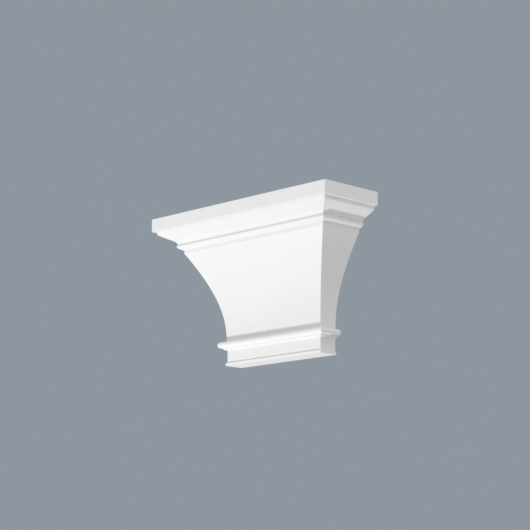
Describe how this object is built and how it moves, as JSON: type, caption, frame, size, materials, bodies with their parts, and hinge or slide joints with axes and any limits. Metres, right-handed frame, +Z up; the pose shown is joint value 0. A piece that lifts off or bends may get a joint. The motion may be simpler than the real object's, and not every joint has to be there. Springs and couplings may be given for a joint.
{
  "type": "pilaster capital",
  "caption": "Flared wall capital that crowns a shallow pilaster: square top slab, ogee, beads, concave body and plain neck, with a flat back.",
  "frame": {"origin": "middle of the flat back, on the wall plane, half way up", "axes": "+X to the viewer's right along the wall, -Y out of the wall towards the viewer, +Z up"},
  "size_m": [0.245, 0.0743, 0.1526],
  "materials": {
    "primed_white": "smooth satin white primer on moulded rigid foam"
  },
  "bodies": {
    "root": {"pilaster_capital": "primed_white"}
  },
  "joints": []
}
